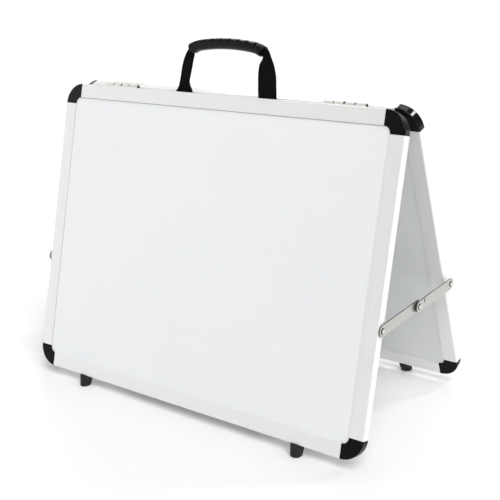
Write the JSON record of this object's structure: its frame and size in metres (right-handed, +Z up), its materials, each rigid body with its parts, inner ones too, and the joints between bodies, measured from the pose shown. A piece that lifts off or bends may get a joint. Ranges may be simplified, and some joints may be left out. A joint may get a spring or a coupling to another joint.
{
  "type": "desk whiteboard easel",
  "caption": "Double-sided magnetic desk whiteboard that opens as an A on rubber feet, with framed boards, top hinges, folding side stays and a soft carrying handle.",
  "frame": {"origin": "middle of the footprint on the surface that the feet stand on", "axes": "+X along the boards, +Y from the front board to the rear board, +Z up"},
  "size_m": [0.6156, 0.3134, 0.5196],
  "materials": {
    "lacquered_steel": "glossy white dry-wipe lacquer on steel",
    "backing": "matt light grey coated sheet",
    "core_board": "plain honeycomb paper board",
    "rail_finish": "satin pale silver anodised",
    "cap_plastic": "semi-gloss black moulded plastic",
    "foot_rubber": "matt black rubber",
    "nickel_steel": "nickel plated",
    "washer_plastic": "plain black nylon",
    "link_steel": "satin nickel plated strip",
    "webbing": "woven black polypropylene webbing",
    "grip_rubber": "soft satin black plastic"
  },
  "bodies": {
    "front_board": {"front_backing_sheet": "backing", "front_bottom_rail": "rail_finish", "front_cap_bottom_left": "cap_plastic", "front_cap_bottom_right": "cap_plastic", "front_cap_top_left": "cap_plastic", "front_cap_top_right": "cap_plastic", "front_core": "core_board", "front_foot_left": "foot_rubber", "front_foot_right": "foot_rubber", "front_left_rail": "rail_finish", "front_right_rail": "rail_finish", "front_top_rail": "rail_finish", "front_writing_sheet": "lacquered_steel", "hinge_left_front_leaf": "nickel_steel", "hinge_right_front_leaf": "nickel_steel", "hinge_left_pin": "nickel_steel", "hinge_right_pin": "nickel_steel", "hinge_screws_front": "nickel_steel", "stay_front_rivets": "nickel_steel", "stay_front_washers": "nickel_steel", "strap_clamped_ends": "webbing", "strap_clamp_plates": "nickel_steel", "strap_clamp_screws": "nickel_steel"},
    "rear_board": {"rear_backing_sheet": "backing", "rear_bottom_rail": "rail_finish", "rear_cap_bottom_left": "cap_plastic", "rear_cap_bottom_right": "cap_plastic", "rear_cap_top_left": "cap_plastic", "rear_cap_top_right": "cap_plastic", "rear_core": "core_board", "rear_foot_left": "foot_rubber", "rear_foot_right": "foot_rubber", "rear_left_rail": "rail_finish", "rear_right_rail": "rail_finish", "rear_top_rail": "rail_finish", "rear_writing_sheet": "lacquered_steel", "hinge_left_rear_leaf": "nickel_steel", "hinge_right_rear_leaf": "nickel_steel", "hinge_screws_rear": "nickel_steel", "stay_rear_rivets": "nickel_steel", "stay_rear_spacers": "nickel_steel"},
    "handle": {"handle_grip": "grip_rubber", "handle_strap_left": "webbing", "handle_strap_right": "webbing"},
    "left_front_link": {"stay_left_front_link": "link_steel", "stay_left_middle_washer": "washer_plastic", "stay_left_middle_rivet_tail": "nickel_steel"},
    "left_rear_link": {"stay_left_rear_link": "link_steel", "stay_left_middle_rivet_head": "nickel_steel", "stay_left_stop_stud": "nickel_steel"},
    "right_front_link": {"stay_right_front_link": "link_steel", "stay_right_middle_washer": "washer_plastic", "stay_right_middle_rivet_tail": "nickel_steel"},
    "right_rear_link": {"stay_right_rear_link": "link_steel", "stay_right_middle_rivet_head": "nickel_steel", "stay_right_stop_stud": "nickel_steel"}
  },
  "joints": [
    {"name": "fold", "type": "hinge", "parent": "front_board", "child": "rear_board", "pos_m": [0, 0, 0.44459], "axis": [-1, 0, 0], "range_deg": [0, 34.4]},
    {"name": "handle_flop", "type": "hinge", "parent": "front_board", "child": "handle", "pos_m": [0, -0.00073, 0.44324], "axis": [-1, 0, 0], "range_deg": [-75, 50]},
    {"name": "left_front_link_turn", "type": "hinge", "parent": "front_board", "child": "left_front_link", "pos_m": [-0.30175, -0.09205, 0.18102], "axis": [1, 0, 0], "range_deg": [0, 66.56]},
    {"name": "left_rear_link_turn", "type": "hinge", "parent": "rear_board", "child": "left_rear_link", "pos_m": [-0.30525, 0.09205, 0.18102], "axis": [-1, 0, 0], "range_deg": [0, 66.56]},
    {"name": "right_front_link_turn", "type": "hinge", "parent": "front_board", "child": "right_front_link", "pos_m": [0.30175, -0.09205, 0.18102], "axis": [1, 0, 0], "range_deg": [0, 66.56]},
    {"name": "right_rear_link_turn", "type": "hinge", "parent": "rear_board", "child": "right_rear_link", "pos_m": [0.30525, 0.09205, 0.18102], "axis": [-1, 0, 0], "range_deg": [0, 66.56]}
  ],
  "couplings": [
    {"joint": "left_front_link_turn", "follows": "fold", "ratio": 1.935},
    {"joint": "left_rear_link_turn", "follows": "fold", "ratio": 1.935},
    {"joint": "right_front_link_turn", "follows": "fold", "ratio": 1.935},
    {"joint": "right_rear_link_turn", "follows": "fold", "ratio": 1.935}
  ]
}
